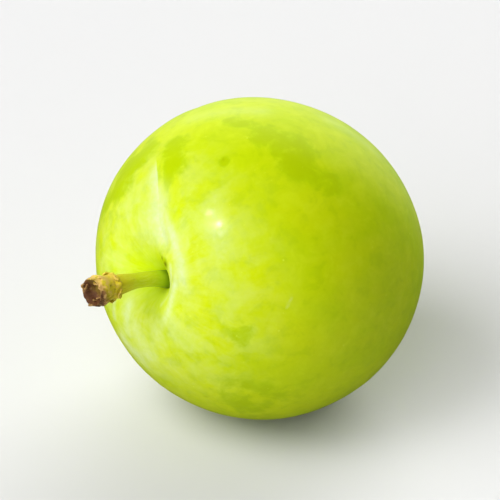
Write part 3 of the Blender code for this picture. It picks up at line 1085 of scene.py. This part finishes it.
@dataclass
class Fruit:
    """The flesh and skin: one closed mesh, finer than the solid that it stands for."""

    form: FruitForm
    finish: SkinFinish
    marks: SkinMarks = SkinMarks()
    columns: int = 336
    rows: int = 250
    column_crowding: float = 0.50
    row_crowding: float = 0.50
    lump_height: float = 0.000070
    lump_scale: float = 2.6
    ripple_height: float = 0.000014
    ripple_scale: float = 9.0
    waver_height: float = 0.00016
    waver_scale: float = 7.0
    waver_span: Span = (0.3, 0.8)
    waver_off_axis: Span = (0.0, 0.2)
    waver_sideways: float = 0.6
    cut_tolerance: float = 1e-6
    smooth_angle: float = math.radians(50.0)

    def build(self) -> bpy.types.Object:
        """Makes the fruit and hands it over.

        Returns:
            The finished fruit.
        """
        Bench.put_down_everything()
        bpy.ops.mesh.primitive_uv_sphere_add(segments=self.columns, ring_count=self.rows, radius=1.0)
        fruit = Bench.take("plum_flesh_and_skin")
        self._grow(fruit)
        fruit.data.transform(self.form.axes())
        self._press_rest_spot(fruit)
        Bench.round_off(fruit, self.smooth_angle)
        fruit.data.materials.append(self.finish.material(self.form))
        Bench.hand_over(fruit, CadNode.FRUIT, Slot.SKIN)
        return fruit

    def _way(self, spot: Vector) -> Vector:
        """The direction of one of the sphere's points, crowded towards the stem end and the suture.

        Args:
            spot: The point on a plain sphere.

        Returns:
            Its new direction.
        """
        from_pole = math.acos(max(-1.0, min(1.0, spot.z)))
        round_axis = math.atan2(spot.x, spot.y)
        from_pole -= self.row_crowding * math.sin(2.0 * from_pole) / 2.0
        round_axis -= self.column_crowding * math.sin(round_axis)
        ring = math.sin(from_pole)
        along = self.form.mean_radius * ring
        turn = math.atan2(self.form.suture.bow(along), along) * smooth_step(0.0, self.form.suture.full, along)
        round_axis += turn * math.cos(round_axis / 2.0) ** 2
        return Vector((ring * math.sin(round_axis), ring * math.cos(round_axis), math.cos(from_pole)))

    def _relief(self, way: Vector) -> float:
        """The small unevenness of a grown fruit."""
        lumps = self.lump_height * noise.noise(way * self.lump_scale)
        return lumps + self.ripple_height * noise.noise(way * self.ripple_scale)

    def _wavered(self, way: Vector) -> Vector:
        """Shifts where the formula is read, so that the groove and the cavity's lip run unevenly.

        Args:
            way: The direction from the fruit's middle.

        Returns:
            The direction to read the formula at.
        """
        shift = self.waver_height / self.form.mean_radius * noise.noise(way * self.waver_scale)
        off_axis = smooth_step(*self.waver_off_axis, math.hypot(way.x, way.y))
        near_stem = smooth_step(*self.waver_span, way.z) * off_axis
        return (way + Vector((shift, self.waver_sideways * shift, 0.0)) * near_stem).normalized()

    def _grow(self, fruit: bpy.types.Object) -> None:
        """Moves the sphere's points onto the skin, and notes on each what its finish needs to know.

        Args:
            fruit: The plain sphere.
        """
        notes = []
        for vert in fruit.data.vertices:
            way = self._way(vert.co)
            read_at = self._wavered(way)
            vert.co = way * (self.form.radius(read_at) + self._relief(way))
            notes.append(self._notes(way, read_at))
        for name, values in zip(("cavity", "hollow", "wax_and_painted_light", "bare_and_shade", "spot"), zip(*notes)):
            Bench.note(fruit, name, values)

    def _notes(self, way: Vector, read_at: Vector) -> tuple[float, float, float, float, float]:
        """What the finish needs to know of a point.

        Args:
            way: The point's direction.
            read_at: The direction at which the formula is read for it.

        Returns:
            How far it is in the cavity, the suture's hollow, the wax and painted light, a bare patch (some are
            painted shade) and a dark spot (one is painted shade).
        """
        form, marks = self.form, self.marks
        size = form.mean_radius
        cavity = form.cavity.funnel_share(read_at, form.from_stem(read_at))
        hollow = marks.wedge.shows(form.from_suture(read_at), size * read_at.y) if read_at.z > 0.0 else 0.0
        wax_and_painted_light = max(hollow, marks.strongest(marks.wax_and_painted_light, way, size)) * (1.0 - cavity)
        bare_and_shade = marks.strongest(marks.bare_and_shade, way, size)
        return cavity, hollow, wax_and_painted_light, bare_and_shade, marks.strongest(marks.spots_and_shade, way, size)

    def _press_rest_spot(self, fruit: bpy.types.Object) -> None:
        """Cuts the flat spot that the fruit rests on, and closes it.

        Args:
            fruit: The grown fruit.
        """
        Bench.pick_up(fruit)
        bpy.ops.object.mode_set(mode="EDIT")
        bpy.ops.mesh.select_all(action="SELECT")
        cut = {"plane_co": (0, 0, 0), "plane_no": (0, 0, 1), "threshold": self.cut_tolerance}
        bpy.ops.mesh.bisect(use_fill=True, clear_inner=True, **cut)
        bpy.ops.object.mode_set(mode="OBJECT")


@dataclass(frozen=True)
class StemFinish:
    """Green, slightly ridged stem that turns golden towards its far end, with painted shade at its root. Spans
    are shares of its length.
    """

    green: Colour = (0.58, 0.68, 0.004)
    pale: Colour = (0.72, 0.78, 0.14)
    root: Colour = (0.30, 0.45, 0.002)
    # painted shade: nearly black-green at the stem's root, by the cavity's lip
    deep: Colour = (0.10, 0.17, 0.001)
    golden: Colour = (0.60, 0.52, 0.010)
    fleck: Colour = (0.26, 0.19, 0.020)

    draw: Triple = (1.0, 1.0, 0.25)
    fibre_scale: float = 38.0
    fibre_span: Span = (0.35, 0.75)
    fibre_share: float = 0.35
    cloud_scale: float = 7.0
    root_span: Span = (0.62, 0.25)
    root_cloud: float = 0.2
    root_share: float = 0.8
    # where the painted shade at the root reaches, and how strongly
    deep_span: Span = (0.26, 0.10)
    deep_share: float = 0.95
    golden_span: Span = (0.72, 1.20)
    golden_cloud: float = 0.30
    golden_share: float = 0.9
    fleck_scale: float = 60.0
    fleck_span: Span = (0.62, 0.74)
    fleck_share: float = 0.15
    fleck_gain: float = 0.6
    roughness: float = 0.46
    fibre_roughness: float = 0.16
    fibre_relief: float = 0.6
    cloud_relief: float = 0.4
    relief_depth: float = 0.00008

    def material(self, axes: Matrix, length: float) -> bpy.types.Material:
        """Makes the stem's material.

        Args:
            axes: The stem's own axes, with +Z along it from the cavity's floor.
            length: The length that shows.

        Returns:
            The material.
        """
        constants = {
            "Metallic": 0.0,
            "Specular IOR Level": 0.35,
            "Subsurface Weight": 0.08,
            "Subsurface Radius": (1.0, 0.9, 0.2),
            "Subsurface Scale": 0.0008,
        }
        material, board, shader = new_finish("green_stalk", constants)
        place = board.place_in(axes, length)
        height = board.parts(place)[2]
        drawn_out = board.vector("MULTIPLY", place, self.draw)
        fibres = board.grain(drawn_out, self.fibre_scale, 3.0, 0.6)
        clouds = board.grain(place, self.cloud_scale, 2.0)
        towards_end = (height + clouds * self.golden_cloud).rise(*self.golden_span)
        towards_root = (height + clouds * self.root_cloud).rise(*self.root_span)
        flecks = board.grain(drawn_out, self.fleck_scale, 2.0).rise(*self.fleck_span)
        colour = board.layered(
            self.green,
            (fibres.rise(*self.fibre_span) * self.fibre_share, self.pale),
            (towards_root * self.root_share, self.root),
            # painted shade at the stem's root
            (height.rise(*self.deep_span) * self.deep_share, self.deep),
            (towards_end * self.golden_share, self.golden),
            (flecks * (self.fleck_share + towards_end * self.fleck_gain), self.fleck),
        )
        relief = fibres * self.fibre_relief + clouds * self.cloud_relief
        board.feed(shader.inputs["Base Color"], colour)
        board.feed(shader.inputs["Roughness"], self.roughness + fibres * self.fibre_roughness)
        board.feed(shader.inputs["Normal"], board.bump(relief, self.relief_depth))
        return material


@dataclass
class Stem:
    """The stalk, extruded ring by ring from the bottom of the cavity. Heights are over the cavity's floor."""

    form: FruitForm
    finish: StemFinish
    mid_radius: float = 0.00089
    root_radius: float = 0.00112
    far_radius: float = 0.00116
    shown_length: float = 0.0080
    flare_length: float = 0.0016
    swell_length: float = 0.0030
    arch: float = 0.00040
    arch_skew: float = 0.7
    root_offset: float = 0.00045
    collar_length: float = 0.0037
    sunk: float = 0.0009
    runs_into_collar: float = 0.0018
    sides: int = 40
    rings: int = 52
    faces_up: float = 0.9
    ridges: int = 5
    ridge_height: float = 0.000045
    ridge_twist: float = 60.0
    wrinkle_height: float = 0.000040
    wrinkle_scale: float = 900.0
    wrinkle_draw: float = 0.35
    plain_middle: float = 0.5
    smooth_angle: float = math.radians(60.0)

    def bend(self, height: float) -> float:
        """The stem's sideways place at this height."""
        share = min(max(height / (self.shown_length + self.collar_length), 0.0), 1.0)
        return self.arch * math.sin(math.pi * share**self.arch_skew) - self.root_offset * (1.0 - share) ** 3

    def radius(self, height: float) -> float:
        """The stem's radius at this height: flared at the root and swollen at the far end.

        Args:
            height: The height over the cavity's floor.

        Returns:
            The radius.
        """
        flare = (self.root_radius - self.mid_radius) * hump(max(height, 0.0), self.flare_length)
        towards_end = smooth_step(self.shown_length - self.swell_length, self.shown_length, height)
        return self.mid_radius + flare + (self.far_radius - self.mid_radius) * towards_end

    def centre(self, height: float) -> Vector:
        """The middle of the stem at this height, in the fruit's axes."""
        return Vector((0.0, self.bend(height), self.form.cavity_floor() + height))

    def axes(self) -> Matrix:
        """The stem's own axes in the world: +Z along it, with the cavity's floor at 0."""
        return self.form.axes() @ Matrix.Translation((0.0, 0.0, self.form.cavity_floor()))

    def build(self) -> bpy.types.Object:
        """Makes the stem and hands it over.

        Returns:
            The finished stem.
        """
        stem = self._extrude()
        self._carve(stem.data)
        Bench.face_outwards(stem)
        Bench.apply_modifier(stem, "SUBSURF", levels=1, render_levels=1)
        stem.data.transform(self.form.axes())
        Bench.round_off(stem, self.smooth_angle)
        stem.data.materials.append(self.finish.material(self.axes(), self.shown_length))
        Bench.hand_over(stem, CadNode.STEM, Slot.STEM)
        return stem

    def _extrude(self) -> bpy.types.Object:
        """Draws the stalk out of a short stub, one ring at a time.

        Returns:
            The stalk, still with plain rings.
        """
        lowest = -self.sunk
        step = (self.shown_length + self.runs_into_collar + self.sunk) / self.rings
        foot = self.centre(lowest) - Vector((0.0, 0.0, step / 2.0))
        Bench.put_down_everything()
        size = {"vertices": self.sides, "radius": self.radius(lowest), "depth": step}
        bpy.ops.mesh.primitive_cylinder_add(location=foot, **size)
        bpy.ops.object.transform_apply(location=True, rotation=False, scale=False)
        stem = Bench.take("plum_stalk")
        bpy.ops.object.mode_set(mode="EDIT")
        bpy.ops.mesh.select_mode(type="FACE")
        bpy.ops.mesh.select_all(action="DESELECT")
        bpy.ops.object.mode_set(mode="OBJECT")
        for polygon in stem.data.polygons:
            polygon.select = polygon.normal.z > self.faces_up
        bpy.ops.object.mode_set(mode="EDIT")
        for ring in range(self.rings):
            here = lowest + ring * step
            there = here + step
            rise = self.centre(there) - self.centre(here)
            bpy.ops.mesh.extrude_region_move(TRANSFORM_OT_translate={"value": rise})
            growth = self.radius(there) / self.radius(here)
            bpy.ops.transform.resize(value=(growth, growth, 1.0), center_override=self.centre(there))
        bpy.ops.object.mode_set(mode="OBJECT")
        return stem

    def _carve(self, mesh: bpy.types.Mesh) -> None:
        """Gives the stalk its lengthwise ridges and its wrinkles, stronger towards its far end.

        Args:
            mesh: The stalk's mesh.
        """
        for vert in mesh.vertices:
            height = vert.co.z - self.form.cavity_floor()
            middle = self.centre(height)
            out = vert.co - middle
            angle = math.atan2(out.y, out.x)
            ends = 0.5 + smooth_step(self.plain_middle * self.shown_length, self.shown_length, height)
            ridge = self.ridge_height * math.cos(self.ridges * angle + self.ridge_twist * height)
            spot = Vector((out.x, out.y, self.wrinkle_draw * height)) * self.wrinkle_scale
            wrinkle = self.wrinkle_height * noise.noise(spot)
            vert.co = middle + out * (1.0 + ends * (ridge + wrinkle) / max(out.length, TINY))


@dataclass(frozen=True)
class ScaleFinish:
    """Dry, woody scales: golden where they leave the stem, dark brown at the ragged end, pale where worn, and
    darker on the lower side, partly painted shade.
    """

    golden: Colour = (0.62, 0.50, 0.015)
    olive: Colour = (0.34, 0.25, 0.006)
    tan: Colour = (0.66, 0.42, 0.13)
    brown: Colour = (0.27, 0.125, 0.042)
    dark: Colour = (0.075, 0.025, 0.007)

    golden_to: float = 0.46
    olive_at: float = 0.60
    brown_at: float = 0.76
    cloud_scale: float = 2.4
    cloud_age: float = 0.9
    age_and_shade_below: float = 0.60
    draw: Triple = (1.0, 1.0, 0.3)
    fibre_scale: float = 16.0
    fibre_span: Span = (0.48, 0.72)
    fibre_share: float = 0.32
    edge_share: float = 0.40
    inside_share: float = 0.75
    patch_scale: float = 4.6
    patch_shade_below: float = 0.28
    patch_height: Span = (0.40, 0.65)
    patch_gain: float = 0.6
    dark_span: Span = (0.50, 0.62)
    dark_share: float = 0.75
    tan_span: Span = (0.42, 0.32)
    tan_share: float = 0.70
    roughness: float = 0.55
    fibre_roughness: float = 0.25
    relief_depth: float = 0.00012

    def material(self, axes: Matrix, length: float) -> bpy.types.Material:
        """Makes the scales' material, darker on the side that lies below: partly the scales' own colour, partly
        painted shade.

        Args:
            axes: The collar's own axes, with +Z along it from its foot.
            length: The collar's length.

        Returns:
            The material.
        """
        constants = {"Metallic": 0.0, "Specular IOR Level": 0.30}
        material, board, shader = new_finish("dried_bud_scales", constants)
        place = board.place_in(axes, length)
        height = board.parts(place)[2]
        clouds = board.grain(place, self.cloud_scale, 2.0)
        # partly painted shade: the lower side is pushed towards the darker colours and dark patches, the upper
        # side towards tan
        below = board.dot(place, tuple(axes.inverted().to_3x3() @ Vector((0.0, 0.0, -1.0))))
        patches = board.grain(place, self.patch_scale, 2.0) + below * self.patch_shade_below
        aged = height.rise(*self.patch_height) * self.patch_gain + (1.0 - self.patch_gain)
        fibres = board.grain(board.vector("MULTIPLY", place, self.draw), self.fibre_scale, 3.0, 0.65)
        age = (height + (clouds - 0.5) * self.cloud_age + below * self.age_and_shade_below).clamped()
        stops = [
            (0.0, self.golden),
            (self.golden_to, self.golden),
            (self.olive_at, self.olive),
            (self.brown_at, self.brown),
            (1.0, self.dark),
        ]
        colour = board.layered(
            board.node("ShaderNodeValToRGB", {"stops": stops}, {0: age}).outputs[0],
            (fibres.rise(*self.fibre_span) * self.fibre_share, self.tan),
            (board.attribute("worn_edge") * self.edge_share, self.tan),
            (aged * patches.rise(*self.dark_span) * self.dark_share, self.dark),
            (aged * patches.rise(*self.tan_span) * self.tan_share, self.tan),
            (board.attribute("inside") * self.inside_share, self.dark),
        )
        board.feed(shader.inputs["Base Color"], colour)
        board.feed(shader.inputs["Roughness"], self.roughness + fibres * self.fibre_roughness)
        board.feed(shader.inputs["Normal"], board.bump(fibres, self.relief_depth))
        return material


@dataclass(frozen=True)
class Whorl:
    """One ring of scales round the collar.

    The foot and the length are in collar lengths, the half width and the first angle in radians.
    """

    count: int
    foot: float
    length: float
    half_width: float
    thickness: float
    stand_off: float
    lean_out: float
    curl_in: float
    first_angle: float
    unevenness: float
    seed: int


@dataclass(frozen=True)
class ScaleShape:
    """The plan of one scale and the wear that sets its copies apart. Shares run from its foot to its tip."""

    columns: int = 11
    rows: int = 15
    taper: float = 0.62
    taper_power: float = 2.2
    foot_width: float = 0.80
    foot_share: float = 0.25
    rounding: float = 0.24
    rounding_power: float = 2.4
    rounding_starts: float = 0.45
    lean_power: float = 1.5
    curl_starts: float = 0.60
    cup: float = 0.00010
    worn_tip: float = 0.78
    worn_side: float = 0.80
    side_wear: float = 0.6
    turn_spread: Span = (-0.5, 0.5)
    height_spread: Span = (-0.45, 0.15)
    width_spread: float = 0.4
    noise_shift: float = 10.0
    thickening: float = -0.6
    twist: float = 0.10
    warp_across: float = 2.6
    warp_along: float = 1.4
    warp_height: float = 0.00010
    fine_warp_height: float = 0.00004
    fine_warp_scale: float = 3.1
    ragged_height: float = 0.00022
    ragged_starts: float = 0.6
    ragged_scale: float = 2.7


@dataclass
class BudScaleCollar:
    """The collar of dried bud scales: a knobbly core with whorls of separate scales over it."""

    form: FruitForm
    stem: Stem
    finish: ScaleFinish
    length: float = 0.0037
    foot_gap: float = 0.0002
    places: tuple[float, ...] = (0.0, 0.16, 0.40, 0.82, 1.0)
    radii: tuple[float, ...] = (0.00118, 0.00152, 0.00138, 0.00168, 0.00156)
    lumps: int = 5
    lump_height: float = 0.00026
    lump_spread: float = 0.12
    hollow_depth: float = 0.0011
    hollow_slope: float = 0.7
    columns: int = 96
    rows: int = 60
    hollow_rows: int = 15
    foot_rows: int = 5
    wrinkle_height: float = 0.00012
    wrinkle_scale: float = 1300.0
    wrinkle_lean: float = 0.4
    fine_share: float = 0.5
    fine_scale: float = 2.3
    scale: ScaleShape = ScaleShape()
    whorls: tuple[Whorl, ...] = (
        Whorl(5, 0.04, 0.26, 0.36, 0.00022, 0.00006, 0.00026, 0.0, 0.55, 0.25, 3),
        Whorl(5, 0.34, 0.74, 0.66, 0.00024, 0.00004, 0.00020, 0.00020, 0.20, 0.60, 11),
        Whorl(4, 0.62, 0.44, 0.56, 0.00020, -0.00034, 0.00002, 0.00024, 0.85, 0.60, 29),
    )
    smooth_angle: float = math.radians(55.0)

    def axes(self) -> Matrix:
        """Where the collar's own axes lie in the world: foot at the stem's end, +Z along the stem there.

        Returns:
            The axes.
        """
        foot = self.stem.shown_length + self.foot_gap
        run = self.stem.centre(foot + self.length) - self.stem.centre(foot)
        turn = run.to_track_quat("Z", "Y").to_matrix().to_4x4()
        return self.form.axes() @ Matrix.Translation(self.stem.centre(foot)) @ turn

    def build(self) -> bpy.types.Object:
        """Makes the core and its scales, joins them and hands them over.

        Returns:
            The finished collar.
        """
        pieces = [self._core()]
        for whorl in self.whorls:
            pieces += self._whorl(whorl)
        collar = Bench.join(pieces, "bud_scale_collar")
        collar.data.transform(self.axes())
        Bench.round_off(collar, self.smooth_angle)
        collar.data.materials.clear()
        collar.data.materials.append(self.finish.material(self.axes(), self.length))
        Bench.hand_over(collar, CadNode.BUD_SCALES, Slot.DRIED_SCALES)
        return collar

    def core_radius(self, share: float) -> float:
        """The core's plain radius at this share of its length.

        Args:
            share: 0 at the core's foot, 1 at its rim.

        Returns:
            The radius.
        """
        radius = self.radii[0]
        for index in range(1, len(self.places)):
            rise = smooth_step(self.places[index - 1], self.places[index], share)
            radius += (self.radii[index] - self.radii[index - 1]) * rise
        return radius

    def _lump(self, share: float, angle: float) -> float:
        """The ring of lumps near the core's foot."""
        round_ring = max(0.0, math.cos(self.lumps * angle + math.sin(angle))) ** 2
        return self.lump_height * round_ring * hump(share - self.places[1], self.lump_spread)

    def _core_point(self, row: int, angle: float) -> Vector:
        """A point of the core: rows run from the middle of its hollow, over the rim and down to its foot.

        Args:
            row: Which row, from 0.
            angle: Where on the row.

        Returns:
            The point in the collar's axes.
        """
        wall_rows = self.rows - self.hollow_rows - self.foot_rows
        if row < self.hollow_rows:
            inward = 1.0 - row / self.hollow_rows
            radius = self.core_radius(1.0) * (1.0 - inward)
            height = self.length - self.hollow_depth * smooth_step(0.0, self.hollow_slope, inward)
        elif row <= self.hollow_rows + wall_rows:
            share = 1.0 - (row - self.hollow_rows) / wall_rows
            radius = self.core_radius(share) + self._lump(share, angle)
            height = self.length * share
        else:
            radius = self.core_radius(0.0) * (self.rows - row) / self.foot_rows
            height = 0.0
        return Vector((radius * math.cos(angle), radius * math.sin(angle), height))

    def _core(self) -> bpy.types.Object:
        """Makes the knobbly core with its hollow, rough end.

        Returns:
            The core.
        """
        Bench.put_down_everything()
        bpy.ops.mesh.primitive_uv_sphere_add(segments=self.columns, ring_count=self.rows, radius=1.0)
        core = Bench.take("collar_core")
        inside = []
        for vert in core.data.vertices:
            row = round(self.rows * math.acos(max(-1.0, min(1.0, vert.co.z))) / math.pi)
            spot = self._core_point(row, math.atan2(vert.co.y, vert.co.x))
            grain = spot * self.wrinkle_scale
            rough = self.wrinkle_height * noise.noise(grain)
            rough += self.fine_share * self.wrinkle_height * noise.noise(grain * self.fine_scale)
            out = Vector((spot.x, spot.y, self.wrinkle_lean * (spot.z - self.length / 2.0)))
            vert.co = spot + out.normalized() * rough
            inside.append(1.0 if row < self.hollow_rows else 0.0)
        Bench.note(core, "inside", inside)
        Bench.note(core, "worn_edge", [0.0] * len(inside))
        return core

    def _scale(self, whorl: Whorl) -> bpy.types.Object:
        """Models one scale of a whorl: a curved, tapering plate with a rounded tip, standing at angle 0.

        Args:
            whorl: The whorl that it is for.

        Returns:
            The scale.
        """
        plan = self.scale
        Bench.put_down_everything()
        bpy.ops.mesh.primitive_grid_add(x_subdivisions=plan.columns, y_subdivisions=plan.rows, size=2.0)
        scale = Bench.take("one_scale")
        edges = []
        for vert in scale.data.vertices:
            side = vert.co.x
            share = (vert.co.y + 1.0) / 2.0
            width = whorl.half_width * (1.0 - plan.taper * share**plan.taper_power)
            width *= plan.foot_width + (1.0 - plan.foot_width) * smooth_step(0.0, plan.foot_share, share)
            rounding = plan.rounding * abs(side) ** plan.rounding_power
            tip = 1.0 - rounding * smooth_step(plan.rounding_starts, 1.0, share)
            height = whorl.foot + whorl.length * share * tip
            radius = self.core_radius(min(height, 1.0)) + whorl.stand_off
            curl = whorl.curl_in * smooth_step(plan.curl_starts, 1.0, share)
            radius += whorl.lean_out * share**plan.lean_power - curl
            radius -= plan.cup * side * side * (1.0 - share)
            angle = side * width
            vert.co = (radius * math.cos(angle), radius * math.sin(angle), height * self.length)
            side_wear = smooth_step(plan.worn_side, 1.0, abs(side)) * plan.side_wear
            edges.append(max(smooth_step(plan.worn_tip, 1.0, share), side_wear))
        Bench.note(scale, "worn_edge", edges)
        Bench.note(scale, "inside", [0.0] * len(edges))
        return scale

    def _whorl(self, whorl: Whorl) -> list[bpy.types.Object]:
        """Copies a scale round the collar, each copy with its own size, turn and unevenness.

        Args:
            whorl: The whorl to make.

        Returns:
            Its scales.
        """
        dice = random.Random(whorl.seed)
        pattern = self._scale(whorl)
        copies = []
        for index in range(whorl.count):
            copy = Bench.copy_of(pattern, f"scale_{whorl.seed}_{index}")
            step = index + whorl.unevenness * dice.uniform(*self.scale.turn_spread)
            turn = whorl.first_angle + math.tau * step / whorl.count
            taller = 1.0 + whorl.unevenness * dice.uniform(*self.scale.height_spread)
            wider = 1.0 + self.scale.width_spread * whorl.unevenness * dice.uniform(-1.0, 1.0)
            shift = Vector((dice.random(), dice.random(), dice.random())) * self.scale.noise_shift
            self._roughen(copy.data, whorl, (taller, wider), shift)
            copy.data.transform(Matrix.Rotation(turn, 4, "Z"))
            Bench.apply_modifier(copy, "SOLIDIFY", thickness=whorl.thickness, offset=self.scale.thickening)
            Bench.apply_modifier(copy, "SUBSURF", levels=1, render_levels=1)
            copies.append(copy)
        bpy.data.objects.remove(pattern)
        return copies

    def _roughen(self, mesh: bpy.types.Mesh, whorl: Whorl, growth: Span, shift: Vector) -> None:
        """Makes one copy of a scale unlike the others.

        Args:
            mesh: The copy's mesh.
            whorl: The whorl that it belongs to.
            growth: How much taller and how much wider it is than the pattern.
            shift: Where in the noise its wear is read.
        """
        taller, wider = growth
        wear = self.scale
        foot = whorl.foot * self.length
        for vert in mesh.vertices:
            share = (vert.co.z - foot) / (whorl.length * self.length)
            radius = math.hypot(vert.co.x, vert.co.y)
            angle = math.atan2(vert.co.y, vert.co.x) * wider
            angle += wear.twist * share * noise.noise(shift)
            spot = Vector((angle * wear.warp_across, share * wear.warp_along, 0.0)) + shift
            warp = wear.warp_height * share * noise.noise(spot)
            radius += warp + wear.fine_warp_height * noise.noise(spot * wear.fine_warp_scale)
            ragged = wear.ragged_height * smooth_step(wear.ragged_starts, 1.0, share)
            height = foot + (vert.co.z - foot) * taller
            height += ragged * noise.noise(spot * wear.ragged_scale)
            vert.co = (radius * math.cos(angle), radius * math.sin(angle), height)


@dataclass(frozen=True)
class Lamp:
    """A round light far away, seen from the plum in a direction that is given in the camera's axes.

    The softboxes light the plum but aren't mirrored in its skin. The small lamps are only mirrored.
    """

    name: str
    towards: Triple
    strength: float
    spread: float
    shines: bool = True
    lights: bool = True


@dataclass
class Studio:
    """A plain pale floor, the lamps round the plum and the camera at the photograph's viewing angle."""

    form: FruitForm
    azimuth: float = math.radians(48.4)
    elevation: float = math.radians(33.0)
    distance: float = 0.60
    sensor: float = 36.0
    frame_width: float = 0.05806
    shift: Span = (-5.0 / 220.0, 3.5 / 220.0)
    floor_size: float = 30.0
    floor_colour: Colour = (0.585, 0.585, 0.585)
    sky: float = 0.035
    glow: float = 0.9
    glow_towards: Triple = (0.15, 0.775, -0.61)
    glow_span: Span = (0.60, 0.95)
    lamps: tuple[Lamp, ...] = (
        Lamp("high_softbox", (-0.62, 0.50, 0.60), 1.90, math.radians(42.0), shines=False),
        Lamp("front_softbox", (-0.38, 0.25, 0.89), 2.28, math.radians(60.0), shines=False),
        Lamp("upper_glint", (-0.545, 0.450, 0.708), 0.26, math.radians(1.9), lights=False),
        Lamp("glint", (-0.482, 0.335, 0.810), 0.80, math.radians(3.2), lights=False),
        Lamp("lower_glint", (-0.468, 0.210, 0.858), 0.16, math.radians(2.2), lights=False),
        Lamp("sheen", (-0.475, 0.300, 0.827), 0.80, math.radians(18.0), lights=False),
        Lamp("fill", (-0.84, -0.44, 0.32), 3.1, math.radians(60.0), shines=False),
        Lamp("window", (0.33, 0.70, -0.63), 4.5, math.radians(60.0), shines=False),
    )

    def _camera_axes(self) -> tuple[Vector, Vector, Vector]:
        """The camera's right, up and back directions in the world.

        Returns:
            The three directions.
        """
        level = math.cos(self.elevation)
        east, north = math.sin(self.azimuth) * level, -math.cos(self.azimuth) * level
        back = Vector((east, north, math.sin(self.elevation)))
        right = Vector((math.cos(self.azimuth), math.sin(self.azimuth), 0.0))
        return right, back.cross(right), back

    def _in_world(self, direction: Triple) -> Vector:
        """Turns a direction in the camera's axes into one in the world."""
        right, up, back = self._camera_axes()
        return (right * direction[0] + up * direction[1] + back * direction[2]).normalized()

    def set_camera(self) -> None:
        """Places the camera and makes it the scene's."""
        camera = bpy.data.objects.new("camera", bpy.data.cameras.new("camera"))
        bpy.context.scene.collection.objects.link(camera)
        axes = self._camera_axes()
        place = Vector((0.0, 0.0, self.form.rest_height())) + axes[2] * self.distance
        camera.matrix_world = Matrix.Translation(place) @ Matrix(axes).transposed().to_4x4()
        camera.data.sensor_width = self.sensor
        camera.data.lens = self.sensor * self.distance / self.frame_width
        camera.data.shift_x, camera.data.shift_y = self.shift
        bpy.context.scene.camera = camera

    def set_lamps(self) -> None:
        """Hangs the lights."""
        for lamp in self.lamps:
            light = bpy.data.lights.new(lamp.name, "SUN")
            light.energy = lamp.strength
            light.angle = lamp.spread
            holder = bpy.data.objects.new(lamp.name, light)
            holder.rotation_euler = self._in_world(lamp.towards).to_track_quat("Z", "Y").to_euler()
            holder.visible_glossy = lamp.shines
            holder.visible_diffuse = lamp.lights
            bpy.context.scene.collection.objects.link(holder)
            LOG.info("%s: strength %.2f", lamp.name, lamp.strength)

    def set_surroundings(self) -> None:
        """Gives the room its faint even light, with a glow behind the plum."""
        world = bpy.data.worlds.new("studio")
        bpy.context.scene.world = world
        board = Board(world)
        way = board.node("ShaderNodeTexCoord", {}, {}).outputs["Generated"]
        behind = board.dot(way, tuple(self._in_world(self.glow_towards))).rise(*self.glow_span)
        strength = self.sky + (self.glow - self.sky) * behind
        board.feed(board.tree.nodes["Background"].inputs["Color"], (1.0, 1.0, 1.0))
        board.feed(board.tree.nodes["Background"].inputs["Strength"], strength)

    def lay_floor(self) -> None:
        """Lays the plain pale floor."""
        Bench.put_down_everything()
        bpy.ops.mesh.primitive_plane_add(size=self.floor_size)
        floor = Bench.take("floor")
        material, board, shader = new_finish("pale_floor", {"Roughness": 0.8, "Specular IOR Level": 0.1})
        board.feed(shader.inputs["Base Color"], self.floor_colour)
        floor.data.materials.append(material)
        floor.visible_glossy = False

    def build(self) -> None:
        """Sets up the camera, the light, the surroundings and the floor."""
        self.set_camera()
        self.set_lamps()
        self.set_surroundings()
        self.lay_floor()
        bpy.context.scene.view_settings.view_transform = "Standard"


def main() -> None:
    """Builds the plum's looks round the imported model."""
    logging.basicConfig(level=logging.INFO, format="%(name)s: %(message)s")
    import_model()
    form = FruitForm()
    Studio(form).build()
    Fruit(form, SkinFinish()).build()
    stem = Stem(form, StemFinish())
    stem.build()
    BudScaleCollar(form, stem, ScaleFinish()).build()


if __name__ == "__main__":
    main()
